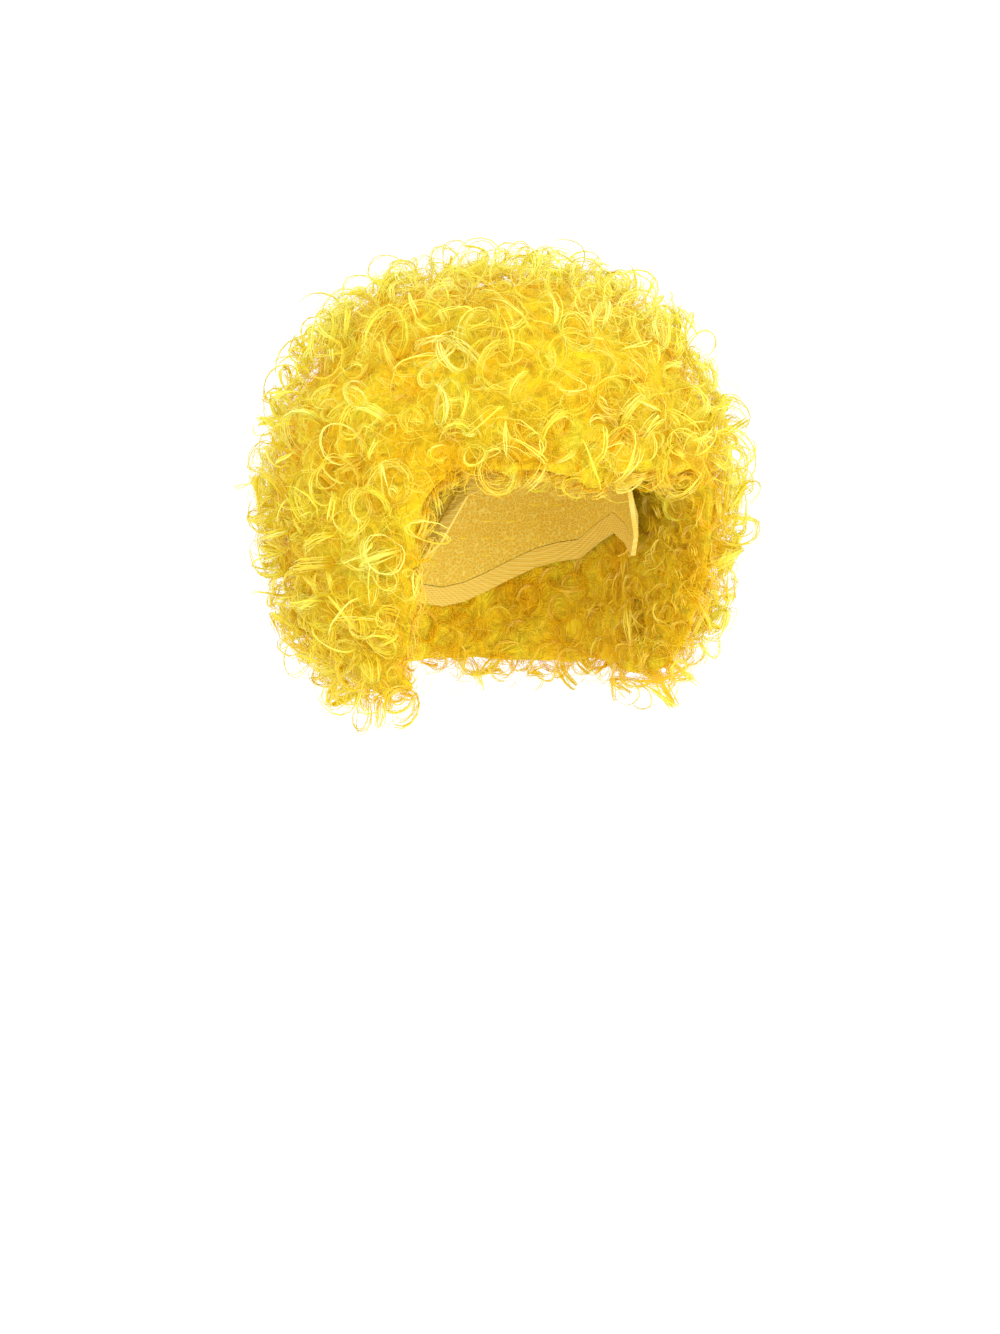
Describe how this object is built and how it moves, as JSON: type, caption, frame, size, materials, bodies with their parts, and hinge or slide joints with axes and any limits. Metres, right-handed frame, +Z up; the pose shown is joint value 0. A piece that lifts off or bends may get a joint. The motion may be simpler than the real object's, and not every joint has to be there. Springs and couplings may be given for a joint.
{
  "type": "curly afro wig",
  "caption": "Costume wig with a round body of loose curls sewn to a stretch cap, open at the face and underneath, with an elastic band round the cap's rim.",
  "frame": {"origin": "where the crown of the wearer's head touches the inside of the cap", "axes": "+Z up out of the crown, -Y the way the wearer faces, +X the wearer's left"},
  "size_m": [0.3073, 0.3027, 0.2841],
  "materials": {
    "net_cloth": "fine stretch net, matt",
    "elastic": "woven elastic tape, matt",
    "curled_hair": "curled synthetic fibre, soft sheen"
  },
  "bodies": {
    "root": {"wig_cap": "net_cloth", "rim_band": "elastic", "crown_curls": "curled_hair", "fringe_curls": "curled_hair", "left_curls": "curled_hair", "right_curls": "curled_hair", "back_curls": "curled_hair", "nape_curls": "curled_hair"}
  },
  "joints": []
}
